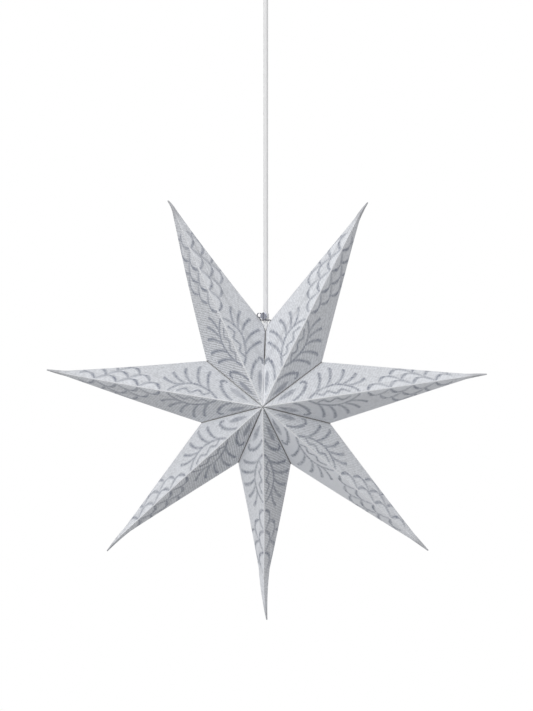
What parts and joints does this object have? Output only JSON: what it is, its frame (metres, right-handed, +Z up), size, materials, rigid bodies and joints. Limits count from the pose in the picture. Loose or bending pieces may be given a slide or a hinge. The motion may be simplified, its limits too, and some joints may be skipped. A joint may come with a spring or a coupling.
{
  "type": "paper star pendant",
  "caption": "Hanging folded paper star with hollow pointed arms, a wire clasp on its lamp cord, a bulb in a holder inside it, and a cup at the ceiling end.",
  "frame": {"origin": "middle of the suspension eye, where the ceiling hook carries the cord", "axes": "+Z up along the cord, +X to the right in the star's plane, front of the star towards -Y"},
  "size_m": [0.6014, 0.18, 0.941],
  "materials": {
    "paper": "matt white card, printed in silver",
    "nickel": "bright nickel plate",
    "cord_sheath": "satin white cord sheath",
    "core_insulation": "wire insulation",
    "white_plastic": "moulded white plastic",
    "clear_plastic": "milky terminal plastic",
    "steel": "zinc plated",
    "brass": "bare brass",
    "porcelain": "unglazed porcelain",
    "opal_bulb": "opal globe"
  },
  "bodies": {
    "suspension": {"suspension_eye": "white_plastic", "cord_clamp": "white_plastic", "clamp_screws": "steel", "terminal_block": "clear_plastic", "pole_screws": "brass", "terminal_wires": "core_insulation", "cord": "cord_sheath", "holder_gland": "white_plastic", "holder_cap": "white_plastic", "holder_sleeve": "white_plastic", "holder_core": "porcelain", "terminal_screws": "steel", "holder_wires": "core_insulation", "screw_shell": "brass", "centre_contact": "brass"},
    "cup": {"ceiling_cup": "white_plastic", "cup_gland": "white_plastic", "gland_nut": "white_plastic"},
    "cup_screw": {"gland_screw": "white_plastic"},
    "clasp": {"clasp_sleeve": "white_plastic"},
    "clasp_knob": {"clasp_screw": "nickel"},
    "star": {"star_point_1": "paper", "star_point_2": "paper", "star_point_3": "paper", "star_point_4": "paper", "star_point_5": "paper", "star_point_6": "paper", "star_point_7": "paper", "eyelets": "nickel", "star_hanger": "nickel"},
    "bulb": {"bulb_contact": "brass", "bulb_cap": "steel", "bulb_collar": "white_plastic", "bulb_globe": "opal_bulb"}
  },
  "joints": [
    {"name": "cup_slide", "type": "slide", "parent": "suspension", "child": "cup", "axis": [0, 0, 1], "range_m": [-0.08, 0]},
    {"name": "cup_screw_turn", "type": "hinge", "parent": "cup", "child": "cup_screw", "pos_m": [0, -0.006, -0.046], "axis": [0, -1, 0], "range_deg": [0, 720]},
    {"name": "clasp_slide", "type": "slide", "parent": "suspension", "child": "clasp", "axis": [0, 0, 1], "range_m": [-0.005, 0.03]},
    {"name": "clasp_screw_turn", "type": "hinge", "parent": "clasp", "child": "clasp_knob", "pos_m": [-0.00205, -0.00564, -0.4897], "axis": [-0.342, -0.9397, 0], "range_deg": [0, 720]},
    {"name": "star_swivel", "type": "hinge", "parent": "clasp", "child": "star", "pos_m": [0, 0, -0.506], "axis": [0, 0, 1], "range_deg": [-247, 23]},
    {"name": "bulb_turn", "type": "hinge", "parent": "suspension", "child": "bulb", "pos_m": [0, 0, -0.6], "axis": [0, 0, -1], "range_deg": [0, 900]}
  ]
}
